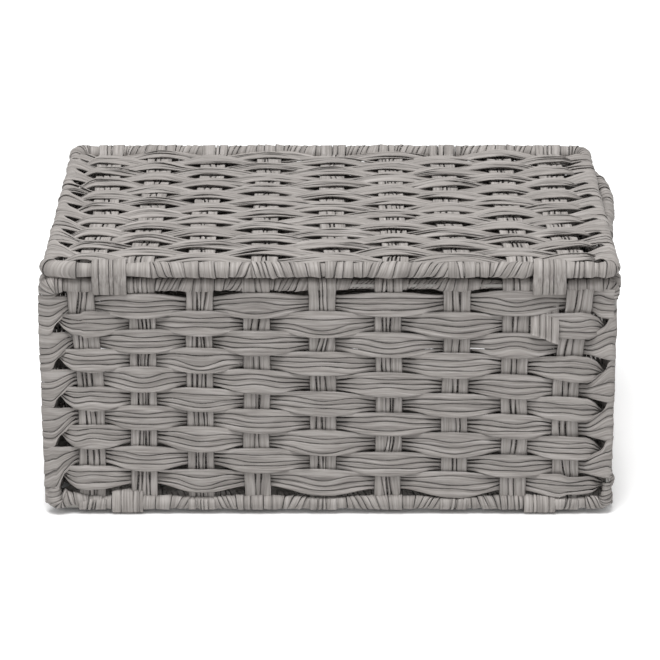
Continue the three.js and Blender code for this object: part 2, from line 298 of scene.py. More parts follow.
# The streak noise also sets the bump, so the colour is darkest where the strand sinks into a
# crease: painted shade in the creases, with streaks of tone along the strand.
streak_and_crease_shade = add(tree, "ShaderNodeValToRGB", Fac=streak.outputs["Fac"])
dark, light = streak_and_crease_shade.color_ramp.elements
dark.position, dark.color = 0.3, linear(STRAND_DARK)
light.position, light.color = 0.72, linear(STRAND_LIGHT)
streak_and_crease_shade.color_ramp.elements.new(0.5).color = linear(STRAND_MID)
split = add(tree, "ShaderNodeSeparateXYZ", Vector=place.outputs["Vector"])
# The strand's number sets its dye. On the rims of the walls and base it is kept low, which is
# painted shade.
shade = add(tree, "ShaderNodeMapRange", Value=split.outputs["Z"], To_Min=DYE_AND_SHADE_LEAST,
            To_Max=DYE_AND_SHADE_MOST)
print(f"streaks {CREASE_MM} mm wide and {STREAK_MM} mm long")

# %% Painted shade in patches down the strand's sides
SHADE_PATCH_MM, SHADE_PATCH_ACROSS, SHADE_PATCH_MOVE = 11.0, 0.12, 75.0
SIDE_SHADE_LEAST, SIDE_SHADE_MOST = 0.15, 0.75

# Painted shade: the narrow sides of each strand, where the grooves between strands lie, are
# darkened in patches.
flank = add(tree, "ShaderNodeAttribute", {"attribute_name": "flank"})
patches = add(tree, "ShaderNodeVectorMath", {"operation": "MULTIPLY"},
              in0=place.outputs["Vector"], in1=(SHADE_PATCH_ACROSS, 1 / SHADE_PATCH_MM, SHADE_PATCH_MOVE))
patch = add(tree, "ShaderNodeTexNoise", Vector=patches.outputs[0], Scale=1.0, Detail=1.0)
side_shade_amount = add(tree, "ShaderNodeMapRange", Value=patch.outputs["Fac"], From_Min=0.36, From_Max=0.6,
           To_Min=SIDE_SHADE_LEAST, To_Max=SIDE_SHADE_MOST)
painted_side_shade = add(tree, "ShaderNodeMath", {"operation": "MULTIPLY"}, in0=flank.outputs["Fac"],
            in1=side_shade_amount.outputs["Result"])
unshaded_share = add(tree, "ShaderNodeMath", {"operation": "SUBTRACT"}, in0=1.0,
                in1=painted_side_shade.outputs["Value"])
# The dye tone, times what the painted side shade leaves: dye together with painted shade.
depth = add(tree, "ShaderNodeMath", {"operation": "MULTIPLY"}, in0=shade.outputs["Result"],
            in1=unshaded_share.outputs["Value"])
dyed = add(tree, "ShaderNodeHueSaturation", Color=streak_and_crease_shade.outputs["Color"],
           Value=depth.outputs["Value"])
print(f"patches {SHADE_PATCH_MM} mm long take up to {SIDE_SHADE_MOST:.0%} of the light")

# %% Fibres and creases as bump, and the matt surface
# Paper fibres are some 0.03 mm wide, too fine to show, so they are drawn as coarse as they need
# to. Uncoated paper scatters nearly all light, so it is rough, with an IOR just under 1.5.
FIBRE_MM, FIBRE_ALONG, FIBRE_MOVE = 0.45, 0.12, 90.0
FIBRE_SHARE, CREASE_DEPTH = 0.25, 0.0006

fibres = add(tree, "ShaderNodeVectorMath", {"operation": "MULTIPLY"},
             in0=place.outputs["Vector"], in1=(1 / FIBRE_MM, FIBRE_ALONG, FIBRE_MOVE))
fibre = add(tree, "ShaderNodeTexNoise", Vector=fibres.outputs[0], Scale=1.0, Detail=2.0)
height = add(tree, "ShaderNodeMath", {"operation": "MULTIPLY_ADD"},
             in0=fibre.outputs["Fac"], in1=FIBRE_SHARE, in2=streak.outputs["Fac"])
bump = add(tree, "ShaderNodeBump", Strength=0.55, Distance=CREASE_DEPTH,
           Height=height.outputs["Value"])
surface = add(tree, "ShaderNodeBsdfPrincipled", Base_Color=dyed.outputs["Color"],
              Roughness=0.72, Normal=bump.outputs["Normal"], IOR=1.45)
add(tree, "ShaderNodeOutputMaterial", Surface=surface.outputs["BSDF"])
print(f"{paper.name}: {len(tree.nodes)} nodes")

# %% Galvanised steel wire
# Hot zinc gives drawn wire a dull grey skin with a fine grain of lighter and darker specks. The
# noise spans the box of a wire, so 900 specks across its 350 mm are 0.4 mm each.
ZINC_DARK, ZINC_LIGHT, ZINC_SPECKS = "#6b6966", "#8c8a87", 900.0

wire_steel, tree = new_material("galvanised_steel_wire")
grain = add(tree, "ShaderNodeTexNoise", Scale=ZINC_SPECKS, Detail=2.0)
zinc = add(tree, "ShaderNodeValToRGB", Fac=grain.outputs["Fac"])
zinc.color_ramp.elements[0].color = linear(ZINC_DARK)
zinc.color_ramp.elements[1].color = linear(ZINC_LIGHT)
surface = add(tree, "ShaderNodeBsdfPrincipled", Base_Color=zinc.outputs["Color"], Metallic=1.0,
              Roughness=0.45)
add(tree, "ShaderNodeOutputMaterial", Surface=surface.outputs["BSDF"])
print(f"{wire_steel.name}: {len(tree.nodes)} nodes")

# %% [markdown]
# ## Panels
# The real panels are all made in one way, so a panel is described once, flat, with X across, Y
# up its height and N towards the outside. Each could be modelled where it stands, but then every
# correction would be made six times. Here the same functions weave all six, and each panel says
# where its flat drawing lies. The hinge wall and the lid face the camera, so they take their
# widths from the photo. The other four are woven denser, so that no crack lets the floor shine
# through behind the front.

# %% Widths of a row, and what panels have in common
X, Y, Z = np.eye(3)
# From the stake that a row passes over (0) to the next, which it passes under (1).
SPREAD_AT = [0, 0.2, 0.36, 0.5, 0.77, 0.86, 1]
FRONT_W = [16.9, 16.6, 15.3, 13.3, 10.4, 13.0, 16.6]
LID_W = [16.6, 16.3, 15.4, 14.4, 13.4, 13.4, 13.4]
DENSE_W = [16.8, 16.4, 15.3, 14.2, 14.6, 14.9, 15.4]
# lift is how far rows stand out over and under a stake, stake_wave how far stakes give way,
# wander and relief how uneven the rows lie, bulge how far the upper turns stick out, and
# sweep and corner how far the row ends rise and the last turn widens, left and right.
USUAL = dict(dense=True, widths=DENSE_W, drop=FIRST_DROP, lift=(2.2, -2.2), bulge=0.0,
             stake_wave=(0.5, -0.5), wander=0.35, relief=1.0, sweep=(0.0, 0.0),
             corner=(7.0, 0.0))


def panel(name, at, axes, half, height, rows, pitch, stakes, start, **own):
    """half is half the width between its side wires. start is 1 where row 0 heads left."""
    x, y, n = axes
    return dict(USUAL, name=name, at=np.array(at, float), x=x, y=y, n=n, half=half,
                height=height, rows=rows, pitch=pitch, stakes=stakes, start=start, **own)


def rows_in(height):
    return int((height - FIRST_DROP - LAST_RISE) / ROW_PITCH) + 1


print(f"the front's rows are {min(FRONT_W)} to {max(FRONT_W)} mm wide")

# %% The six panels
tall, short = top_z - ground_z, top_z - stacked_z
lid_depth, base_depth = open_y - hinge_y, open_y + end_wire_y
LID_ROWS, BASE_ROWS = 18, 14
LID_FAR_GAP, LID_NEAR_GAP = 10.4, 12.0
lid_pitch = (lid_depth - LID_FAR_GAP - LID_NEAR_GAP) / (LID_ROWS - 1)
base_pitch = (base_depth - FIRST_DROP - LAST_RISE) / (BASE_ROWS - 1)
wall_stakes = WALL_SHARES * BASKET_W
lid_stakes = WALL_SHARES * (BASKET_W - 2 * LID_INSET)
end_stakes = END_SHARES * 2 * end_wire_y

panels = {p["name"]: p for p in [
    panel("hinge_wall", (0, hinge_y, ground_z), (X, Z, -Y), half_wire, tall, rows_in(tall),
          ROW_PITCH, wall_stakes, 1, dense=False, widths=FRONT_W, lift=(2.45, -2.45),
          bulge=0.3),
    panel("open_wall", (0, open_y, stacked_z), (-X, Z, Y), half_wire, short, rows_in(short),
          ROW_PITCH, wall_stakes, 1),
    panel("left_end", (-half_wire, 0, stacked_z), (-Y, Z, -X), end_wire_y, short,
          rows_in(short), ROW_PITCH, end_stakes, -1),
    panel("right_end", (half_wire, 0, stacked_z), (Y, Z, X), end_wire_y, short,
          rows_in(short), ROW_PITCH, end_stakes, -1),
    panel("base", (0, -end_wire_y, ground_z), (X, Y, Z), half_wire, base_depth, BASE_ROWS,
          base_pitch, wall_stakes, -1),
    panel("lid", (0, hinge_y, lid_z), (X, Y, Z), lid_half, lid_depth, LID_ROWS, lid_pitch,
          lid_stakes, -1, dense=False, widths=LID_W, drop=LID_FAR_GAP, lift=(3.4, -0.9),
          stake_wave=(2.8, -1.2), wander=1.1, relief=1.9, sweep=(1.2, 3.2), corner=(7.0, 6.0)),
]}
print("rows:", {name: p["rows"] for name, p in panels.items()})

# %% [markdown]
# ## How this basket lies
# Real panels are never quite even. In the photo the hinge wall's rows have crept up at the left,
# the stakes of the lid lean, and the top of the right end has been pushed out past the lid.
# These shifts could be made by bending finished meshes. Here they go into the places that every
# strand asks for, so strands that touch stay together.

# %% Rows that crept and an end that bows out
RISE_X = [-135, -87, -39, 9, 57, 105, 153]
RISE_FALL = [14, 33, 60, 110, 129]
RISE = [  # how far the hinge wall's rows have shifted up, by fall below the rim and place across
    (0, 0, 0.6, 1.3, 1.3, 1.9, 1.9), (2.6, 3.2, 1.9, 1.3, 0.6, 0.6, 0),
    (4.5, 4.5, 2.6, 1.0, 0.6, 0.3, -2.9), (5.6, 4.0, 2.7, 0.8, 0, -1, -2.3),
    (4.0, 2.2, 2.0, 0.8, 0, -1, -1.5)]
BOW_OUT, BOW_FAR = 5.0, 2.2


def rise(p, x, y):
    if p["name"] != "hinge_wall":
        return np.zeros(len(x))
    levels = np.stack([np.interp(x, RISE_X, v) for v in RISE])
    fall = p["height"] - y
    return np.array([np.interp(f, RISE_FALL, levels[:, k]) for k, f in enumerate(fall)])


def bow(p, x, y):
    """How far the top of the right end is pushed out, most in its far half."""
    if p["name"] != "right_end":
        return 0.0
    along = x / p["half"]
    swell = np.clip(1 - along ** 2, 0, 1) * np.clip(1 + along, 0, 2) ** BOW_FAR
    return BOW_OUT * swell * np.clip(y / p["height"], 0, 1) ** 2


def local_scale(p, row, x):
    """How much wider than usual the rows stand there, as a share of the front wall's pitch."""
    y = p["height"] - p["drop"] - p["pitch"] * np.array([row - 1, row + 1])
    moved = y + rise(p, np.array([x, x]), y)
    return (moved[0] - moved[1]) / 2 / ROW_PITCH


print(f"rows rise by up to {np.max(RISE)} mm")

# %% Stakes that lean
LID_STAKE_AT = [0, 0.08, 0.4, 0.9]
LID_STAKES = [  # mm across, at the near rim, a little and half way behind it, and far off
    (-145, -144, -141, -146), (-115, -114, -112, -113), (-78, -78, -79, -77),
    (-40, -40, -41, -40.5), (5, 4, 0.3, 1.5), (39, 39.5, 38.8, 39.6), (79, 76, 73.5, 74),
    (114, 113.5, 111.5, 111.5), (150, 146, 141, 145)]
STAKE_FALL = [0, 0.1, 0.27, 0.45, 1]
LEFT_STAKE, RIGHT_STAKE = [-2.0, -1.4, 1.2, 3.0, 2.8], [7.6, 6.8, 2.6, 0.2, 1.0]


def stake_x(p, i, y):
    """Where stake i stands at height y. The lid's stakes and the hinge wall's outer ones lean."""
    x = p["stakes"][i]
    if p["name"] == "lid":
        return np.interp(y / p["height"], LID_STAKE_AT, LID_STAKES[i])
    if p["name"] != "hinge_wall":
        return x
    fall = (p["height"] - y) / p["height"]
    if i == 0:
        return x + np.interp(fall, STAKE_FALL, LEFT_STAKE)
    if i == len(p["stakes"]) - 1:
        return x + np.interp(fall, STAKE_FALL, RIGHT_STAKE)
    return x


print(f"the lid's stakes lean by up to {max(max(v) - min(v) for v in LID_STAKES)} mm")

# %% From the flat drawing to the basket
def place_dir(p, x, y, n):
    """A direction in the flat drawing as one in the basket."""
    return (np.asarray(x)[..., None] * p["x"] + np.asarray(y)[..., None] * p["y"]
            + np.asarray(n)[..., None] * p["n"])


def place_in(p, x, y, n):
    """A place in the flat drawing as one in the basket."""
    n = n + bow(p, x, y)
    return (p["at"] + np.asarray(x)[..., None] * p["x"] + np.asarray(y)[..., None] * p["y"]
            + np.asarray(n)[..., None] * p["n"])


def ease(t):
    return (1 - np.cos(np.pi * np.clip(t, 0, 1))) / 2


print("the lid is drawn from", place_in(panels["lid"], 0.0, 0.0, 0.0).round(1))

# %% [markdown]
# ## The weaver
# One bundle of four strands runs over and under the stakes, goes round the side wire and comes
# back a row lower. Over a stake the bundle spreads, and where it dives beside the next one it
# is pinched. Round the side wire it fans out so far that two rows cover the whole edge. Such a
# weave could be one wavy pattern copied row by row. It is drawn as one path here, as the solid
# is, because only that gives the turns at the side wires.

# %% Which way the rows run
LANES = 4


def face(i, row):
    """1 where the row passes in front of stake i, -1 where it passes behind."""
    return -1 if (i + row) % 2 == 0 else 1


def goes_right(p, row):
    return (row % 2 == 0) == (p["start"] < 0)


def partner(p, row, side):
    """Where the row is that this one is joined to round a side wire: 1 above, -1 below, 0 none."""
    if goes_right(p, row) == (side > 0):
        return -1 if row < p["rows"] - 1 else 0
    return 1 if row > 0 else 0


print("row 0 heads right in", [name for name, p in panels.items() if goes_right(p, 0)])

# %% How a row ends at a side wire
# By distance in from the wire: the width, and the share of the pitch by which the row has moved
# towards its partner. A row in front of the wire fans out, and one behind it dives.
WIRE_PASS = 3.0
FAN_AT = [0, 2, 5, 13, 40]
FAN_W = [27.3, 26.0, 22.4, 11.4, 12.4]
DENSE_FAN_W = [27.3, 26.2, 23.0, 14.8, 15.4]
FAN_SHIFT = [0.48, 0.45, 0.35, 0, 0]
DIVE_AT = [0, 1.5, 3.6, 9, 14, 20, 40]
DIVE_W = [13, 7, 3.6, 11.6, 15.0, 16.3, 16.6]
DIVE_SHIFT = [0.42, 0.36, 0.3, 0.1, 0.02, 0, 0]
DENSE_DIVE_W = [15, 14.4, 14, 14.6, 15.6, 16.3, 16.8]
DENSE_DIVE_SHIFT = [0.3, 0.22, 0.13, 0.03, 0, 0, 0]
# The strand next to the joined row is nipped in, which leaves the dark notch beside the wire.
NIP_AT = [0, 1.6, 3.4, 5, 9, 13, 40]
NIP = [0, 0, 3.4, 3.6, 1.4, 0, 0]
LID_SLIT = 1.5  # how much longer the slits at the lid's right edge are than elsewhere
LONE_W, FIRST_LONE_W = 12.4, 18.5  # most width of an end that turns round to no other row
SWEEP_FROM = 20.0
CORNER_FROM, CORNER_RUN = 6, 4
END_AT, END_FROM, END_STEP, END_SHORT = [0, 0.8, 1.8, 3.2, 4.8, 6.6], 8.8, 2.6, 1.2
DIVE_RUN = 5.5


def row_end(p, row, side, stake, peak, y0, stretch):
    """Stations from a side wire in to the outermost stake there, as row_line gives them."""
    edge = side * p["half"]
    i = len(p["stakes"]) - 1 if side > 0 else 0
    reach = abs(edge - stake)
    d = np.concatenate([END_AT, np.arange(END_FROM, reach - END_SHORT, END_STEP)])
    front = face(i + side, row) > 0
    way = partner(p, row, side)
    n = peak + ((WIRE_PASS if front else -WIRE_PASS) - peak) * ease(
        (reach - d - DIVE_RUN) / (reach - DIVE_RUN))
    if front:
        at, w, shift = FAN_AT, DENSE_FAN_W if p["dense"] else FAN_W, FAN_SHIFT
    elif p["dense"]:
        at, w, shift = DIVE_AT, DENSE_DIVE_W, DENSE_DIVE_SHIFT
    else:
        at, w, shift = DIVE_AT, DIVE_W, DIVE_SHIFT
    if p["name"] == "lid" and side > 0:
        at = np.array(at) * LID_SLIT
    width = np.interp(d, at, w)
    nip = way * np.interp(d, NIP_AT, NIP) * (front and not p["dense"])
    if not way:
        width = np.minimum(width, FIRST_LONE_W if row == 0 else LONE_W)
    y = y0 + way * p["pitch"] * np.interp(d, at, shift)
    y = y + p["sweep"][side > 0] * np.clip(1 - d / SWEEP_FROM, 0, 1) * min(row / 2, 1)
    place = (1 + i) + side * (1 - d / reach)
    if front and row == p["rows"] - 2:
        corner = p["corner"][way > 0] * np.clip((CORNER_FROM - d) / CORNER_RUN, 0, 1)
        y, width = y - corner / 2, width + corner
    return [edge - side * d, n, y, width * local_scale(p, row, edge) * stretch, place, nip]


print(f"rows fan out to {max(FAN_W)} mm at a side wire, or dive {min(DIVE_W)} mm narrow")

# %% The path of one row
PEAK_VARIES, WIDTH_VARIES = (0.9, 1.12), (0.94, 1.06)
DENSE_FIRST, DENSE_LAST = (0.8, 1.15), (-2.2, 1.3)  # shift up and stretch, to meet the rims
STATION_STEP, FEWEST_STATIONS = 2.9, 6
WANDER_RUN = 30


def row_line(p, row, rng):
    """One row from the left wire to the right one: x, n, y, width, place in stakes, and how far
    the strand next to the joined row is nipped in (+ the upper one, - the lower one)."""
    y0 = p["height"] - p["drop"] - p["pitch"] * row
    count = len(p["stakes"])
    stakes = [stake_x(p, i, y0) for i in range(count)]
    scale = p["pitch"] / ROW_PITCH
    front_n, back_n = p["lift"]
    peak = [(front_n if face(i, row) > 0 else back_n) * rng.uniform(*PEAK_VARIES)
            for i in range(count)]
    stretch = 1.0
    if p["dense"] and row in (0, p["rows"] - 1):
        shift, stretch = DENSE_FIRST if row == 0 else DENSE_LAST
        y0 += shift
    swell = rng.uniform(*WIDTH_VARIES, count)
    parts = [row_end(p, row, -1, stakes[0], peak[0], y0, stretch)]
    for i in range(count - 1):
        gap = stakes[i + 1] - stakes[i]
        t = np.arange(0, 1, 1 / max(round(gap / STATION_STEP), FEWEST_STATIONS))
        n = peak[i] + (peak[i + 1] - peak[i]) * ease(t)
        from_front = t if face(i, row) > 0 else 1 - t
        wide = np.interp(from_front, SPREAD_AT, p["widths"]) * scale * stretch
        wide = wide * (swell[i] + (swell[i + 1] - swell[i]) * ease(t))
        parts.append([stakes[i] + gap * t, n, np.full(len(t), y0), wide, i + 1 + t, t * 0])
    last_end = row_end(p, row, 1, stakes[-1], peak[-1], y0, stretch)
    parts.append([v[::-1] for v in last_end])
    x, n, y, w, place, nip = (np.concatenate(v) for v in zip(*parts))
    y = y + soft_noise(rng, x - x[0], WANDER_RUN, -p["wander"], p["wander"]) + rise(p, x, y)
    return np.stack([x, n, y, w, place, nip], 1)


print(len(row_line(panels["hinge_wall"], 0, dice)), "stations in the hinge wall's top row")

# %% How a bundle shares its width among its strands
PINCHED, SPREAD_FLAT, LEFT_NARROW = (0.85, 1.15), (1.3, 2.1), (0.6, 1.0)
FLAT_CHANCE = [0.75, 0.25, 0.2, 0.6]


def lane_shares(rng, place):
    """Widths of the strands in a bundle. Over a stake one or two spread flat, mostly the outer
    ones, and the others stay narrow; beside the stakes they all lie pinched and nearly equal."""
    knots = np.arange(0, place.max() + 0.51, 0.5)
    raw = rng.uniform(*PINCHED, (len(knots), LANES))
    flat = rng.uniform(size=(len(knots[::2]), LANES)) < FLAT_CHANCE
    raw[::2] = np.where(flat, rng.uniform(*SPREAD_FLAT, flat.shape),
                        rng.uniform(*LEFT_NARROW, flat.shape))
    k = np.clip((place * 2).astype(int), 0, len(knots) - 2)
    t = ease(place * 2 - k)[:, None]
    shares = raw[k] * (1 - t) + raw[k + 1] * t
    return shares / shares.sum(1, keepdims=True)


print("shares over a stake:", lane_shares(dice, np.arange(1, 3, 0.5))[0].round(2))

# %% Round the side wire
EDGE_FAN_W = 28.4
TURN_STEPS = 10
SAME_ROW = 0.1  # a turn that rises by less than this ends in no other row


def turn(p, row, side, a_end, b_end, reach, last=0.0):
    """Stations round the side wire, from the end of one row to the start of the next."""
    angle = np.linspace(0, np.pi, TURN_STEPS + 1)[1:-1]
    s, t = np.sin(angle), angle / np.pi
    x = side * (p["half"] + reach * s)
    n = np.sign(a_end[1]) * WIRE_PASS * np.cos(angle)
    y = a_end[2] + (b_end[2] - a_end[2]) * t - last / 2 * s
    edge_w = max(a_end[3], b_end[3])
    if abs(a_end[2] - b_end[2]) > SAME_ROW:
        edge_w = EDGE_FAN_W * local_scale(p, row + 0.5, side * p["half"])
    edge_w += last
    near_w = np.where(t < 0.5, a_end[3], b_end[3])
    w = near_w + (edge_w - near_w) * s
    return np.stack([x, n, y, w, np.zeros(len(x)), np.zeros(len(x))], 1), t


print(TURN_STEPS - 1, "stations round a side wire")

# %% The whole path of a panel's weaver
EDGE_OUT, EDGE_LEAN, LONE_IN = 3.9, 1.7, 1.8
TAIL_W, TAIL_HIDDEN = 9, 2


def tucked(end):
    """The far end of the tail that a row's end makes round the side wire."""
    tail = end.copy()
    tail[1], tail[3] = -tail[1], TAIL_W
    return tail


def weaver_path(p, rng):
    """Stations of all rows and turns one after another, and the strands' shares at each."""
    rows = []
    for row in range(p["rows"]):
        line = row_line(p, row, rng)
        shares = lane_shares(rng, line[:, 4])
        if not goes_right(p, row):
            line, shares = line[::-1], shares[::-1]
        rows.append((line, shares))
    lines, bundles = [], []
    for row, (line, shares) in enumerate(rows):
        heading = 1 if goes_right(p, row) else -1
        reach = EDGE_OUT + p["bulge"] * (1 - row / p["rows"])
        lean = EDGE_LEAN if p["name"] == "hinge_wall" else 0.0
        reach -= heading * lean
        if row == 0:
            arc, _ = turn(p, row, -heading, tucked(line[0]), line[0],
                          reach + 2 * heading * lean - LONE_IN)
            lines.append(arc[TAIL_HIDDEN:])
            bundles.append(np.repeat(shares[:1], len(arc) - TAIL_HIDDEN, 0))
        lines.append(line)
        bundles.append(shares)
        if row < p["rows"] - 1:
            after, after_shares = rows[row + 1]
            # The last two turns widen to fill the low corners.
            last = p["corner"][p["rows"] - 2 - row] if row > p["rows"] - 4 else 0.0
            arc, t = turn(p, row, heading, line[-1], after[0], reach, last)
            lines.append(arc)
            bundles.append(shares[-1] * (1 - t[:, None]) + after_shares[0] * t[:, None])
        else:
            arc, _ = turn(p, row, heading, line[-1], tucked(line[-1]), reach - LONE_IN)
            lines.append(arc[:-TAIL_HIDDEN])
            bundles.append(np.repeat(shares[-1:], len(arc) - TAIL_HIDDEN, 0))
    return np.concatenate(lines), np.concatenate(bundles)


print(len(weaver_path(panels["lid"], dice)[0]), "stations in the lid's weaver")

# %% Strands along the path
PINCH_FROM, PINCH_RUN = 13.4, 2.6
PLAIN_GAPS, DENSE_GAPS = (1.0, 0.0), (0.5, 0.3)  # share of the usual gap, and how far lanes lap
LANE_LEAST = 0.35
# Soft noise: over how many millimetres it varies, and from what to what.
LANE_GAP, PINCH_GAP = (12, 0.0, 0.2), (15, 0.1, 0.6)
LANE_TIP, LANE_LIFT = (20, -0.35, 0.35), (17, -0.25, 0.25)


def weave(strands, p):
    rng = strands.rng
    path, shares = weaver_path(p, rng)
    x, n, y, w, _, nip = path.T
    tx, tn = np.gradient(x), np.gradient(n)
    size = np.hypot(tx, tn)
    tx, tn = tx / size, tn / size
    run = np.concatenate([[0], np.cumsum(np.hypot(np.diff(x), np.diff(n)))])
    edges = np.concatenate([np.zeros((len(x), 1)), np.cumsum(shares, 1)], 1)
    pinch = np.clip((PINCH_FROM - w * ROW_PITCH / p["pitch"]) / PINCH_RUN, 0, 1)
    gap, lap = DENSE_GAPS if p["dense"] else PLAIN_GAPS
    gaps = [(soft_noise(rng, run, *LANE_GAP) + pinch * soft_noise(rng, run, *PINCH_GAP)) * gap
            - lap for _ in range(LANES + 1)]
    up = place_dir(p, -tn, np.zeros(len(x)), tx)
    for k in range(LANES):
        high = y + w * (0.5 - edges[:, k]) - gaps[k] / 2
        low = y + w * (0.5 - edges[:, k + 1]) + gaps[k + 1] / 2
        if k == 0:
            high = high - np.maximum(nip, 0)
        if k == LANES - 1:
            low = low + np.maximum(-nip, 0)
        low = np.minimum(low, high - LANE_LEAST)
        tip = soft_noise(rng, run, *LANE_TIP) * (1 + pinch) * p["relief"]
        lift = soft_noise(rng, run, *LANE_LIFT) * p["relief"]
        a = place_in(p, x, high, n) + up * (lift + tip)[:, None]
        b = place_in(p, x, low, n) + up * (lift - tip)[:, None]
        strands.loft(a, b, up)


print(LANES, "strands in each weaver")

# %% Weave the six panels
SEEDS = {"hinge_wall": 11, "open_wall": 12, "left_end": 13, "right_end": 14, "base": 15, "lid": 16}
for name, p in panels.items():
    strands = Strands(SEEDS[name])
    weave(strands, p)
    strands.piece(f"{name}_weaver_strands", name, [f"{name}_weaver"], paper)

# %% [markdown]
# ## Rims
# The rim wires are wound with the same strand. Wide wraps stand nearly upright where a stake
# ends under them, and between two stakes the strand is laid on the slant. Each wrap is a loft
# round a tube whose radius swells and narrows, with its seam on the hidden inner side. A twisted
# rope texture would be cheaper, but the rims are the edges that the eye follows, so each wrap is
# real.

# %% Where the rims lie
RIM_SHIFT = {  # by panel and high or low rim: how far it is drawn out over the edge, and outwards
    ("hinge_wall", True): (0, -1.2), ("hinge_wall", False): (-2.1, 0),
    ("lid", True): (0, 0.7), ("lid", False): (1.7, 0),
    ("base", True): (0, 1.0), ("base", False): (0, 1.0),
    ("left_end", True): (0, 0.5), ("left_end", False): (0, 0.5)}
LOW_RIM_UP, LOW_RIM_FROM, LOW_RIM_RUN = 2.6, 138, 22  # the low rim rises at its left end
LID_FAR_BEND = 9.0


def rim_bend(name, high):
    """The wraps cut the lid's far corners short, and follow the wire at all the others."""
    return LID_FAR_BEND if (name, high) == ("lid", True) else WIRE_BEND


def rim_place(p, high, s, radius, angle):
    """A point on the rim, s along it and turned by angle from the outside over the edge."""
    round_r = rim_bend(p["name"], high)
    straight = p["half"] - round_r
    sign = 1 if high else -1
    bend = np.clip((np.abs(s) - straight) / round_r, 0, math.pi / 2)
    past = np.maximum(np.abs(s) - straight - round_r * math.pi / 2, 0)
    x = np.sign(s) * (np.minimum(np.abs(s), straight) + round_r * np.sin(bend))
    y = (p["height"] if high else 0) - sign * (round_r * (1 - np.cos(bend)) + past)
    out_x, out_y = np.sign(s) * np.sin(bend), sign * np.cos(bend)
    out, up_n = RIM_SHIFT.get((p["name"], high), (0, 0))
    if (p["name"], high) == ("hinge_wall", False):
        out = out - LOW_RIM_UP * np.clip((-s - LOW_RIM_FROM) / LOW_RIM_RUN, 0, 1)
    flat = radius * np.sin(angle) + out * np.cos(bend)
    point = place_in(p, x + flat * out_x, y + flat * out_y, radius * np.cos(angle) + up_n)
    up = place_dir(p, out_x * np.sin(angle), out_y * np.sin(angle), np.cos(angle))
    return point, up


print("the lid's near rim is at", rim_place(panels["lid"], False, 0.0, 0.0, 0.0)[0].round(1))

# %% How thick the winding is
RIM_FAT, RIM_SLIM, RIM_UNDER_STAKE, RIM_CORNER, RIM_END = 4.6, 4.05, 3.5, 5.0, 2.3
# Half the length of each such stretch of rim, and how soon it fades out beyond that.
FAT_HALF, FAT_FADE = 8, 8
CORNER_HALF, CORNER_FADE = 3, 5
STAKE_HALF, STAKE_FADE = 7.5, 2
THIN_FADE, LOOP_FADE = 5, 2
PAST_FROM, PAST_FADE = 4, 3


def near(s, at, flat, slope):
    """1 within flat of a place, falling to 0 over slope."""
    return np.clip(1 - (np.abs(s - at) - flat) / slope, 0, 1)


def rim_radius(s, rim):
    """Fat where a stake ends under the wraps, slim under a folded stake or a loop."""
    r = np.full(np.shape(s), RIM_SLIM + rim["extra"])
    for x in rim["fat_at"]:
        r = r + (RIM_FAT - RIM_SLIM) * near(s, x, FAT_HALF, FAT_FADE)
    corner_r = RIM_CORNER - np.sign(s) * rim["lean"]
    r = r + (corner_r - r) * near(np.abs(s), rim["bend"], CORNER_HALF, CORNER_FADE)
    past_r = rim["past_r"] - np.sign(s) * rim["lean"]
    r = r + (past_r - r) * np.clip((np.abs(s) - rim["bend"] - PAST_FROM) / PAST_FADE, 0, 1)
    taper = ease((np.abs(s) - rim["end"]) / rim["taper"] + 1)
    r = r + (RIM_END - r) * taper
    for x in rim["over_at"]:
        r = np.minimum(r, r + (RIM_UNDER_STAKE - r) * near(s, x, STAKE_HALF, STAKE_FADE))
    for x, half, less in rim["thin_at"]:
        r = r - less * near(s, x, half, THIN_FADE)
    for a, b in rim["loops"]:
        under = near(s, (a + b) / 2, (b - a) / 2, LOOP_FADE)
        r = np.minimum(r, r + (rim["under_loop"] - r) * under)
    return r


print(f"the winding is {2 * RIM_SLIM} to {2 * RIM_FAT} mm thick")

# %% Winding a rim
WRAP_FROM, WRAP_TO, WRAP_STEPS = math.radians(-150), math.radians(205), 18
WRAP_T, WRAP_CREASE, WRAP_GAP = 0.95, 0.5, 0.05
WRAP_VARIES, LEAN_VARIES, BEND_WRAP_W = (0.7, 1.3), 0.8, 2.6
LAY_FROM, LAST_WRAP, LEAN_FADE, FLAT_MOST = 0.5, 1.5, 12, 6
WRAP_LEAST, WRAP_LIFT, WRAP_TIP = 0.3, (-0.1, 0.25), (0.03, 0.09)
WAVE_RUN, WAVE, WAVE_SHARE = 1.2, 0.3, 0.4


def wrap_marks(rng, rim):
    """Where each wrap starts along the rim, and how far it moves on over half a turn."""
    end = rim["end"]
    starts = np.array([v[0] for v in rim["lay"]])
    at, lean = [-end], [0.0]
    while at[-1] < end - LAST_WRAP:
        k = max(np.searchsorted(starts, at[-1] + LAY_FROM, side="right") - 1, 0)
        _, wide, slant = rim["lay"][k]
        if abs(at[-1] + wide / 2) > rim["bend"] - rim["round"]:
            wide = min(wide, BEND_WRAP_W)
        at.append(min(at[-1] + wide * rng.uniform(*WRAP_VARIES), end))
        lean.append(slant + rng.uniform(-LEAN_VARIES, LEAN_VARIES))
    at, lean = np.array(at), np.array(lean)
    # Each wrap gives way half to its neighbours, so that no two cross.
    lean[1:-1] = 0.25 * lean[:-2] + 0.5 * lean[1:-1] + 0.25 * lean[2:]
    lean *= np.clip((end - np.abs(at)) / LEAN_FADE, 0, 1)
    return at, lean


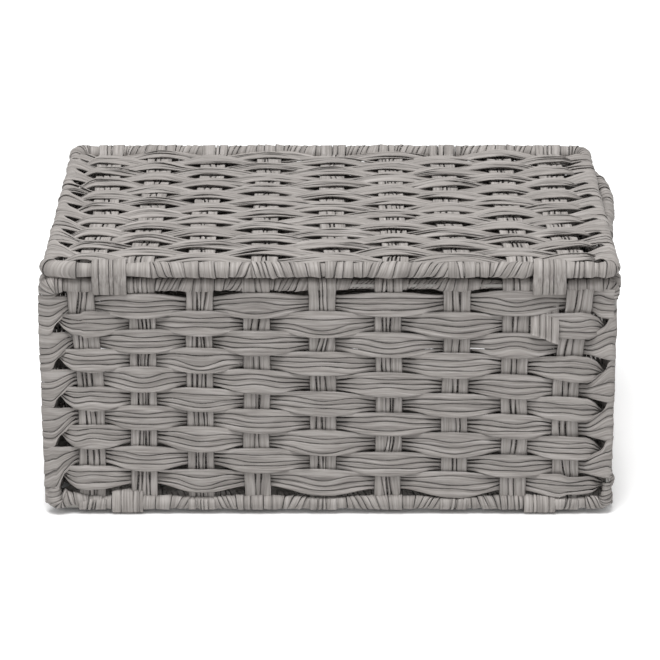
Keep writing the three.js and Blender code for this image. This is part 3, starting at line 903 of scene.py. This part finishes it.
def wind(strands, p, high, rim):
    """Winds one rim. rim["lay"] is a list of (from, wrap width, lean) along it."""
    rng = strands.rng
    end = rim["end"]
    at, lean = wrap_marks(rng, rim)
    angle = np.linspace(WRAP_FROM, WRAP_TO, WRAP_STEPS + 1)
    middle = math.radians(rim["middle"])
    for j in range(len(at) - 1):
        wave = soft_noise(rng, angle - angle[0], WAVE_RUN, -WAVE, WAVE)
        swing = wave * WAVE_SHARE
        a = at[j] + lean[j] * (angle - middle) / math.pi + WRAP_GAP + swing
        b = at[j + 1] + lean[j + 1] * (angle - middle) / math.pi - WRAP_GAP + swing
        a, b = np.clip(a, -end, end), np.clip(b, -end, end)
        b = np.maximum(b, a + WRAP_LEAST)
        wide = np.minimum(b - a, FLAT_MOST)
        lift = rng.uniform(*WRAP_LIFT)
        tip = rng.choice([-1, 1]) * rng.uniform(*WRAP_TIP) * wide
        left, up = rim_place(p, high, a, rim_radius(a, rim) + lift + tip + swing, angle)
        right, _ = rim_place(p, high, b, rim_radius(b, rim) + lift - tip + swing, angle)
        strands.loft(left, right, up, WRAP_T, crease=WRAP_CREASE)


print(f"a wrap reaches {math.degrees(WRAP_TO - WRAP_FROM):.0f} degrees round a rim")

# %% [markdown]
# ## Stakes
# A stake is a flat bundle too, two wide strands with narrow ones between them. It bends a little
# away from each row that passes over it. At a rim it either folds over the wraps and shows, or
# ends under them. A straight plank with grooves would look stiff beside the weave, so a stake is
# lofted strand by strand as well.

# %% The path of a stake
STAKE_W, FOLD_WIDER, FOLD_R = 16.2, 0.8, 4.55
STAKE_STEP, STAKE_CLEAR, STAKE_FLAT = 2.6, 5.5, 6
FOLD_FROM, FOLD_TO, FOLD_STATIONS = -38, 200, 15
TUCKED_AT = np.array([3.2, 1.5])


def over_rim(p, high, shows, radius):
    """The last stations of a stake at a rim: folded over the wraps, or short under them."""
    sign = 1 if high else -1
    edge_y = p["height"] if high else 0.0
    if not shows:
        return edge_y - sign * TUCKED_AT, np.array([0.0, 0.0])
    angle = np.radians(np.linspace(FOLD_FROM, FOLD_TO, FOLD_STATIONS))
    out, up_n = RIM_SHIFT.get((p["name"], high), (0, 0))
    return edge_y + sign * (radius * np.sin(angle) + out), radius * np.cos(angle) + up_n


def stake_line(p, i, over_low, over_high, extra):
    """Stake i's places up the panel and out of it, with its width at each. extra is how much
    fatter than usual the low and the high rim are."""
    top, rows = p["height"], p["rows"]
    y_rows = top - p["drop"] - p["pitch"] * np.arange(rows)
    knots_y = np.concatenate([[STAKE_FLAT], y_rows[::-1], [top - STAKE_FLAT]])
    out_n, in_n = p["stake_wave"]
    waves = [out_n if face(i, r) < 0 else in_n for r in range(rows)][::-1]
    knots_n = np.concatenate([[0], waves, [0]])
    y = np.arange(STAKE_CLEAR, top - STAKE_CLEAR, STAKE_STEP)
    k = np.clip(np.searchsorted(knots_y, y) - 1, 0, len(knots_y) - 2)
    t = ease((y - knots_y[k]) / (knots_y[k + 1] - knots_y[k]))
    n = knots_n[k] * (1 - t) + knots_n[k + 1] * t
    low_y, low_n = over_rim(p, False, over_low, FOLD_R + extra[0])
    high_y, high_n = over_rim(p, True, over_high, FOLD_R + extra[1])
    w = np.concatenate([np.full(len(low_y), STAKE_W + FOLD_WIDER), np.full(len(y), STAKE_W),
                        np.full(len(high_y), STAKE_W + FOLD_WIDER)])
    return (np.concatenate([low_y[::-1], y, high_y]),
            np.concatenate([low_n[::-1], n, high_n]), w)


print(f"a stake is {STAKE_W} mm wide, and {STAKE_W + FOLD_WIDER} mm over a rim")

# %% The strands of a stake
STAKE_T, STAKE_LANES = 1.0, [3, 3, 4, 5]
OUTER_SHARE, INNER_SHARE = 1.9, 0.95
PLAIN_CRACK, DENSE_CRACK, CRACK_LEAST = 1.05, 0.6, 0.05
STAKE_LANE_LEAST = 0.8
# Soft noise again: over how many millimetres it varies, and from what to what.
SHARE_VARIES, SWAY = (24, 0.55, 1.45), (50, -0.6, 0.6)
CRACK_RUN, CRACK_FROM = 10, -0.3
STAKE_TIP, STAKE_LIFT = (18, -0.25, 0.25), (18, -0.2, 0.2)


def stand(strands, p, i, over_low, over_high, extra):
    rng = strands.rng
    y, n, w = stake_line(p, i, over_low, over_high, extra)
    ty, tn = np.gradient(y), np.gradient(n)
    size = np.hypot(ty, tn)
    ty, tn = ty / size, tn / size
    run = np.concatenate([[0], np.cumsum(np.hypot(np.diff(y), np.diff(n)))])
    lanes = rng.choice(STAKE_LANES)
    outer = (np.arange(lanes) == 0) | (np.arange(lanes) == lanes - 1)
    weights = np.where(outer, OUTER_SHARE, INNER_SHARE)
    shares = np.stack([soft_noise(rng, run, *SHARE_VARIES) * v for v in weights], 1)
    shares = shares / shares.sum(1, keepdims=True)
    edges = np.concatenate([np.zeros((len(y), 1)), np.cumsum(shares, 1)], 1)
    middle = np.array([stake_x(p, i, v) for v in np.clip(y, 0, p["height"])])
    middle = middle + soft_noise(rng, run, *SWAY)
    widest = DENSE_CRACK if p["dense"] else PLAIN_CRACK
    gaps = [np.maximum(soft_noise(rng, run, CRACK_RUN, CRACK_FROM, widest), CRACK_LEAST)
            for _ in range(lanes + 1)]
    gaps[0] = gaps[-1] = np.zeros(len(y))
    up = place_dir(p, np.zeros(len(y)), -tn, ty)
    for k in range(lanes):
        a_x = middle + w * (edges[:, k] - 0.5) + gaps[k] / 2
        b_x = middle + w * (edges[:, k + 1] - 0.5) - gaps[k + 1] / 2
        b_x = np.maximum(b_x, a_x + STAKE_LANE_LEAST)
        tip = soft_noise(rng, run, *STAKE_TIP)
        lift = soft_noise(rng, run, *STAKE_LIFT)
        a = place_in(p, a_x, y, n) + up * (lift + tip)[:, None]
        b = place_in(p, b_x, y, n) + up * (lift - tip)[:, None]
        strands.loft(a, b, up, STAKE_T)


print(f"{min(STAKE_LANES)} to {max(STAKE_LANES)} strands in a stake")

# %% [markdown]
# ## Which stake folds, and how each rim is wound
# Where a stake folds over a rim it hides the wire and the wraps under it stay slim. Where it
# ends under the wraps, they bulge. The rims that face the camera are wound wrap by wrap as the
# photo shows them, and the others by one rule: upright over the stakes, slanting between them.

# %% How the rims are wound
OVER = {  # which stakes fold over the low rim and over the high rim, and show there
    "hinge_wall": ([0, 2, 4, 6, 8], [1, 3, 4, 5, 7]),
    "open_wall": ([1, 3, 5, 7], [0, 2, 4, 6, 8]),
    "left_end": ([1, 3, 5], [0, 2, 4]),
    "right_end": ([1, 3, 5], [0, 2, 4]),
    "base": ([0, 2, 4, 6, 8], [1, 3, 5, 7]),
    "lid": ([4, 6, 8], [0, 2, 4, 6, 8]),
}
LEAN = {"open_wall": (6, 6), "left_end": (6, -6), "right_end": (6, 6), "base": (6, 6),
        "lid": (0, 6)}
START = -999
# Each lay is (from, wrap width, lean) along the rim, as it shows from the front. The lean is how
# far a wrap moves along the rim over half a turn.
LID_NEAR_LAY = [
    (START, 15, 0), (-124, 6, -2), (-120, 2.7, -6), (-104, 5, -5), (-99, 9, -1), (-68, 4.4, 8),
    (-52, 2.6, -4), (-37, 5, -5), (-25, 8, -1), (13, 4, 7), (27, 8, 3), (42, 4, 8),
    (66, 6, 0), (91, 4.4, 8), (112, 6, 3), (143, 4, 0), (162, 12, 0)]
HINGE_TOP_LAY = [
    (START, 2.3, 0), (-162, 9, 0), (-107, 3, 6), (-92, 6.5, 0), (-69, 3.2, 7), (-53, 6, 0),
    (-36, 3.5, 6), (-22, 7, 2), (6, 3.2, 7), (27, 6, 0), (45, 3.2, 7), (67, 6.5, 0),
    (84, 3.4, 7), (106, 6, 0), (144, 8, 0)]
HINGE_LOW_LAY = [
    (START, 4, -3), (-160, 7, 0), (-117, 9, 0), (-103, 4, 7), (-88, 6, 0), (-72, 3, -7),
    (-62, 6, 0), (-35, 4, 7), (-19, 6, 0), (9, 4, -6), (27, 7, 0), (46, 3.3, 7),
    (66, 6, 0), (84, 5, -6), (101, 3.6, -1), (121, 6, 0), (153, 2.5, -6)]
# The lay, the sense of its lean, and at how many degrees round the rim it is measured.
LAYS = {("hinge_wall", True): (HINGE_TOP_LAY, 1, 0),
        ("hinge_wall", False): (HINGE_LOW_LAY, -1, 0),
        ("lid", False): (LID_NEAR_LAY, -1, 90)}
WIDE_HALF, WIDE_WRAP, SLANT_WRAP, END_WRAP = 9, 6, 3.6, 7
USUAL_MIDDLE = 60


def usual_lay(p, lean):
    """Wide upright wraps over the stakes, narrow slanting ones between them."""
    lay = [(START, END_WRAP, 0)]
    for x, after in zip(p["stakes"], p["stakes"][1:]):
        lay += [(x + WIDE_HALF, SLANT_WRAP, lean), (after - WIDE_HALF, WIDE_WRAP, 0)]
    return lay + [(p["stakes"][-1] + WIDE_HALF, END_WRAP, 0)]


print(len(usual_lay(panels["lid"], 6)), "stretches along the lid's far rim")

# %% How thick each rim is
LID_LOOPS = {"left": (-143.4, -122.6), "right": (121.4, 141.4)}
BASE_LOOPS = {"left": (-135.0, -115.4), "right": (119.0, 138.8)}
LOOPS = {("hinge_wall", True): LID_LOOPS, ("lid", False): LID_LOOPS,
         ("hinge_wall", False): BASE_LOOPS, ("base", False): BASE_LOOPS}
RIM_UNDER_LOOP = {"lid": 2.9, "hinge_wall": 3.7, "base": 3.7}
RIM_EXTRA = {  # how much fatter or slimmer a rim is than usual
    ("hinge_wall", True): -0.3, ("hinge_wall", False): -0.4, ("lid", True): 0.6,
    ("left_end", True): -0.6, ("left_end", False): -0.6,
    ("right_end", True): -0.4, ("right_end", False): -0.4}
RIM_LEAN = {"hinge_wall": 1.2, "lid": 0.3}  # how much fatter the left corners are
THIN_AT = {("hinge_wall", True): [  # place, half length, and how much slimmer the rim is there
    (18.5, 7, 1.5), (55, 8, 1.3), (97, 8, 1.6), (-66, 5, 0.6), (149, 8, 1.3)]}
# How far the winding runs on past the corners, and how thick it is there.
PAST_HIGH, PAST_LOW, PAST_HINGE_LOW = 4.5, 5.5, 11.0
PAST_R, PAST_HINGE_R = 3.9, 4.4


def rim_of(p, high):
    """All that rim_radius and wind need to know of one rim."""
    name = p["name"]
    over = OVER[name][high]
    lay, sense, middle = LAYS.get((name, high), (None, 1, USUAL_MIDDLE))
    if lay is None:
        lay = usual_lay(p, LEAN[name][high])
    edge_y = p["height"] if high else 0
    at = [stake_x(p, i, edge_y) for i in range(len(p["stakes"]))]
    round_r = rim_bend(name, high)
    bend = p["half"] - round_r + round_r * math.pi / 4
    past = PAST_HIGH if high else PAST_HINGE_LOW if name == "hinge_wall" else PAST_LOW
    past_r = PAST_HINGE_R if (name, high) == ("hinge_wall", True) else PAST_R
    return dict(bend=bend, round=round_r, end=bend + round_r * math.pi / 4 + past,
                taper=past - 1.0, past_r=past_r, lean=RIM_LEAN.get(name, 0), middle=middle,
                lay=[(s, w, lean * sense) for s, w, lean in lay],
                loops=list(LOOPS.get((name, high), {}).values()),
                under_loop=RIM_UNDER_LOOP.get(name), thin_at=THIN_AT.get((name, high), []),
                extra=RIM_EXTRA.get((name, high), 0.0),
                over_at=[x for i, x in enumerate(at) if i in over],
                fat_at=[x for i, x in enumerate(at) if i not in over])


near_rim = rim_of(panels["lid"], False)
print(f"the lid's near rim is wound over {2 * near_rim['end']:.0f} mm")

# %% Stand the stakes and wind the rims of every panel
STAKE_SEED, WRAP_SEED = 20, 40
EXTRA_UNDER_FOLD = 0.8
for name, p in panels.items():
    over_low, over_high = OVER[name]
    low_rim, high_rim = rim_of(p, False), rim_of(p, True)
    extra = (low_rim["extra"] * EXTRA_UNDER_FOLD, high_rim["extra"] * EXTRA_UNDER_FOLD)
    strands = Strands(SEEDS[name] + STAKE_SEED)
    for i in range(len(p["stakes"])):
        stand(strands, p, i, i in over_low, i in over_high, extra)
    strands.piece(f"{name}_stake_strands", name, [f"{name}_stakes"], paper)
    # The rims of the walls and the base take the darker tone, which is painted shade.
    strands = Strands(SEEDS[name] + WRAP_SEED, LIGHT_TONE if name == "lid" else RIM_SHADE_TONE)
    wind(strands, p, False, low_rim)
    wind(strands, p, True, high_rim)
    strands.piece(f"{name}_rim_wraps", name, [f"{name}_stakes"], paper)

# %% [markdown]
# ## Loops and ties
# Two flat loops of strand are the hinges of the lid, and two more those of the base. Eight
# narrow ties hold the corners of the walls. All of them run round two wires like a belt round
# two pulleys, so they are lofted along that closed path. A curve with a bevel would do for a
# round cord, but a flat strand twists where a curve bends.

# %% Belt path round two wires
BELT_STEPS, BELT_CREASE, BELT_GAP, BELT_WOBBLE = 9, 0.3, 0.05, 0.15
BELT_SHARES, BELT_LIFT = (0.6, 1.9), 0.1


def belt(first, second, radius):
    """Closed path round two centres in a plane, from the far side of the first, and the
    direction out of it at each station."""
    first, second = np.array(first, float), np.array(second, float)
    line = (second - first) / np.linalg.norm(second - first)
    side = np.array([-line[1], line[0]])
    half = np.array([math.cos(a) * side - math.sin(a) * line
                     for a in np.linspace(0, np.pi, BELT_STEPS)])
    path = np.concatenate([first + radius * half, second - radius * half])
    out = np.concatenate([half, -half])
    return np.concatenate([path, path[:1]]), np.concatenate([out, out[:1]])


def belt_strands(strands, first, second, radius, span, lanes, thick, to_place):
    """Strands side by side along a belt path; to_place turns path and span places to XYZ."""
    rng = strands.rng
    path, out = belt(first, second, radius)
    run = np.concatenate([[0], np.cumsum(np.linalg.norm(np.diff(path, axis=0), axis=1))])
    ring = run / run[-1]
    cuts = np.cumsum(np.concatenate([[0], rng.permutation(np.linspace(*BELT_SHARES, lanes))]))
    cuts = cuts / cuts[-1]
    for k in range(lanes):
        lift = rng.uniform(-BELT_LIFT, BELT_LIFT)
        wobble = BELT_WOBBLE * np.sin(2 * np.pi * (ring + rng.uniform()))
        a = span[0] + (span[1] - span[0]) * cuts[k] + BELT_GAP + wobble
        b = span[0] + (span[1] - span[0]) * cuts[k + 1] - BELT_GAP + wobble
        lay = path + out * lift
        left, right = to_place(lay, a), to_place(lay, b)
        up = to_place(out, 0) - to_place(out * 0, 0)
        strands.loft(left, right, up, thick, closed=True, crease=BELT_CREASE)


print(len(belt((0, 0), (10, 0), 5)[0]), "stations round a belt")

# %% The loose end on the right lid loop
LOOSE_CUTS = [120.6, 126.2, 130.0, 133.4, 138.0]
LOOSE_FROM, LOOSE_TO, LOOSE_SLANT, LOOSE_STATIONS = 7, 30.5, 6.5, 14
LOOSE_FALL, LOOSE_OUT = [7, 16, 21, 26, 40], [-2.2, -1.2, 1.2, 3.9, 4.1]
LOOSE_GAP, LOOSE_TIP, LOOP_T = 0.05, 0.8, 0.95


def loose_end(strands, p):
    """The end of the strand comes out under the first row and is cut off at a slant."""
    lanes = len(LOOSE_CUTS) - 1
    flat, tip = np.ones(LOOSE_STATIONS), np.zeros(LOOSE_STATIONS)
    tip[-1] = LOOSE_TIP
    for k in range(lanes):
        last = LOOSE_TO + LOOSE_SLANT * (k + 0.5) / lanes
        fall = np.linspace(LOOSE_FROM, last, LOOSE_STATIONS)
        n = np.interp(fall, LOOSE_FALL, LOOSE_OUT)
        slope = np.gradient(n) / np.gradient(fall)
        up = place_dir(p, 0 * flat, slope, flat) / np.hypot(slope, 1)[:, None]
        y = p["height"] - fall
        left, right = LOOSE_CUTS[k] + LOOSE_GAP, LOOSE_CUTS[k + 1] - LOOSE_GAP
        strands.loft(place_in(p, left * flat, y + tip, n), place_in(p, right * flat, y - tip, n),
                     up, LOOP_T)


print(f"the loose end is {LOOSE_CUTS[-1] - LOOSE_CUTS[0]:.1f} mm wide")

# %% The four flat hinge loops
# The loops take less of the painted shade down their sides.
LOOP_R, LOOP_LANES, LOOP_SIDE_SHADE = 5.75, 4, 0.4
LID_LOOP_OUT = 0.7
BASE_LOOP_R, BASE_LOOP_UP = LOOP_R - 1.1, 0.5
BASE_LOOP_TALL = {"left": 1.9, "right": 1.25}
LID_LOOP_SEEDS, BASE_LOOP_SEEDS = {"left": 70, "right": 71}, {"left": 72, "right": 73}
for side, span in LID_LOOPS.items():
    strands = Strands(LID_LOOP_SEEDS[side], side_shade=LOOP_SIDE_SHADE)
    belt_strands(strands, (hinge_y, top_z), (hinge_y - LID_LOOP_OUT, lid_z), LOOP_R, span,
                 LOOP_LANES, LOOP_T,
                 lambda q, x: np.stack([np.broadcast_to(x, len(q)), q[:, 0], q[:, 1]], 1))
    if side == "right":
        loose_end(strands, panels["hinge_wall"])
    strands.piece(f"lid_loop_{side}_strands", "hinge_wall", [f"lid_loop_{side}"], paper)
for side, span in BASE_LOOPS.items():
    tall = BASE_LOOP_TALL[side]
    strands = Strands(BASE_LOOP_SEEDS[side], side_shade=LOOP_SIDE_SHADE)
    belt_strands(strands, (hinge_y, 0), (-end_wire_y, 0), BASE_LOOP_R, span, LOOP_LANES, LOOP_T,
                 lambda q, x: np.stack([np.broadcast_to(x, len(q)), q[:, 0],
                                        ground_z + BASE_LOOP_UP
                                        + np.where(q[:, 1] > 0, q[:, 1] * tall, q[:, 1])], 1))
    strands.piece(f"base_loop_{side}_strands", "hinge_wall", [f"base_loop_{side}"], paper)

# %% The eight corner ties
TIE_R, TIE_T, TIE_HALF, TIE_LANES, TIE_SEED = 2.75, 0.8, 2.2, 3, 80
for name in frame["nodes"]:
    if not name.startswith("tie_"):
        continue
    side_x = -half_wire if "_left_" in name else half_wire
    wires = (hinge_y, -end_wire_y) if "_hinge_" in name else (open_y, end_wire_y)
    low_corner, high_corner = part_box(name)
    z = (low_corner.z + high_corner.z) / 2 / MM
    strands = Strands(TIE_SEED + int(z) + len(name))
    belt_strands(strands, (side_x, wires[0]), (side_x, wires[1]), TIE_R,
                 (z - TIE_HALF, z + TIE_HALF), TIE_LANES, TIE_T,
                 lambda q, h: np.stack([q[:, 0], q[:, 1], np.broadcast_to(h, len(q))], 1))
    strands.piece(f"{name}_strands", body_of(frame["nodes"][name])[0], [name], paper)

# %% [markdown]
# ## Bare wire
# Inside the strands run the six drawn wires, which show in the few places where strands part.
# They could be drawn again as curves with a round bevel, but the solids of the wires are already
# round and bent as the real ones. So those stay, and only take the zinc finish.

# %% Finish the six wires
for name in panels:
    wire = frame["nodes"][f"{name}_wire"]
    for spot in wire.material_slots:
        spot.material = wire_steel
print(f"{len(panels)} wires in {wire_steel.name}")

# %% [markdown]
# ## Camera and light
# The photo looks down on the basket by some 20 degrees, through a long lens. The same place and
# lens follow from the basket's size in the picture. The white round it could come from strong
# lamps, but they would bleach the paper. So floor and sky are white only where they are seen,
# and the light is one broad soft box in front and above, a weak one from the right, and a pale
# sky.

# %% Camera at the photograph's angle
ELEVATION, DISTANCE, SIDEWAYS, TARGET_Z = 20.53, 2.0461, -0.0004, 0.0771
FOCAL_PX, FRAME_PX, SENSOR = 3178.5, 660, 36.0
lens = bpy.data.cameras.new("camera")
lens.sensor_width = SENSOR
lens.lens = FOCAL_PX / FRAME_PX * SENSOR
camera = bpy.data.objects.new("camera", lens)
bpy.context.collection.objects.link(camera)
tilt = math.radians(ELEVATION)
camera.location = (SIDEWAYS, -DISTANCE * math.cos(tilt), TARGET_Z + DISTANCE * math.sin(tilt))
camera.rotation_euler = (math.pi / 2 - tilt, 0, 0)
bpy.context.scene.camera = camera
print(f"camera {lens.lens:.1f} mm, {DISTANCE:.2f} m away")


# %% White floor that keeps the shadow
# To the camera the floor glows white, less so right under the basket and near it. So the
# shadow stays, the ground behind the basket is white from every side, and the glow lights
# nothing.
SHADOW_M, FADE_FROM_M, FADE_TO_M, NEAR_GLOW, FLOOR_M = 0.02, 0.6, 2.2, 0.4, 14
PURE_WHITE, FLOOR_WHITE = "#ffffff", (0.9, 0.9, 0.9, 1)  # the floor's share of light, not a hue


def seen_directly(tree):
    """1 for the camera's own rays and for reflections, 0 for light that falls on the object."""
    path = add(tree, "ShaderNodeLightPath")
    return add(tree, "ShaderNodeMath", {"operation": "MAXIMUM"},
               in0=path.outputs["Is Camera Ray"], in1=path.outputs["Is Glossy Ray"])


floor_paint, tree = new_material("white_studio_floor")
seen = seen_directly(tree)
open_sky = add(tree, "ShaderNodeAmbientOcclusion", {"samples": 8}, Distance=SHADOW_M)
spot = add(tree, "ShaderNodeNewGeometry")
away = add(tree, "ShaderNodeVectorMath", {"operation": "LENGTH"}, in0=spot.outputs["Position"])
fade = add(tree, "ShaderNodeMapRange", Value=away.outputs["Value"], From_Min=FADE_FROM_M,
           From_Max=FADE_TO_M, To_Min=NEAR_GLOW, To_Max=1.0)
lit = add(tree, "ShaderNodeMath", {"operation": "MULTIPLY"}, in0=open_sky.outputs["AO"],
          in1=fade.outputs["Result"])
glow = add(tree, "ShaderNodeMath", {"operation": "MULTIPLY"}, in0=seen.outputs["Value"],
           in1=lit.outputs["Value"])
matt = add(tree, "ShaderNodeBsdfDiffuse", Color=FLOOR_WHITE)
shine = add(tree, "ShaderNodeEmission", Color=linear(PURE_WHITE), Strength=glow.outputs["Value"])
both = add(tree, "ShaderNodeAddShader", in0=matt.outputs["BSDF"], in1=shine.outputs["Emission"])
add(tree, "ShaderNodeOutputMaterial", Surface=both.outputs["Shader"])
bpy.ops.mesh.primitive_plane_add(size=FLOOR_M, location=(0, 0, 0))
floor = bpy.context.object
floor.name = "floor"
floor.data.materials.append(floor_paint)
print(f"{floor_paint.name} on a floor {FLOOR_M} m wide")

# %% Plain soft sky, white where it is seen
SKY, SEEN_SKY = 0.32, 1.0
world = bpy.data.worlds.new("studio")
bpy.context.scene.world = world
world.use_nodes = True
tree = world.node_tree
tree.nodes.clear()
seen = seen_directly(tree)
soft = add(tree, "ShaderNodeBackground", Color=linear(PURE_WHITE), Strength=SKY)
white = add(tree, "ShaderNodeBackground", Color=linear(PURE_WHITE), Strength=SEEN_SKY)
mix = add(tree, "ShaderNodeMixShader", Fac=seen.outputs["Value"], in1=soft.outputs[0],
          in2=white.outputs[0])
add(tree, "ShaderNodeOutputWorld", Surface=mix.outputs[0])
print(f"sky at {SKY}")

# %% Soft boxes
LIGHT_AIM = (0, 0, 0.08)


def soft_box(name, at, size, power):
    light = bpy.data.lights.new(name, "AREA")
    light.shape, light.size, light.energy = "SQUARE", size, power
    ob = bpy.data.objects.new(name, light)
    ob.location = at
    ob.rotation_euler = (Vector(LIGHT_AIM) - Vector(at)).to_track_quat("-Z", "Y").to_euler()
    bpy.context.collection.objects.link(ob)
    print(f"{name}: {power} W from {size} m")


soft_box("key", (-0.2, -0.75, 2.35), 1.2, 58)
soft_box("fill", (1.2, -2.0, 1.0), 1.6, 4)
bpy.context.scene.view_settings.view_transform = "Standard"
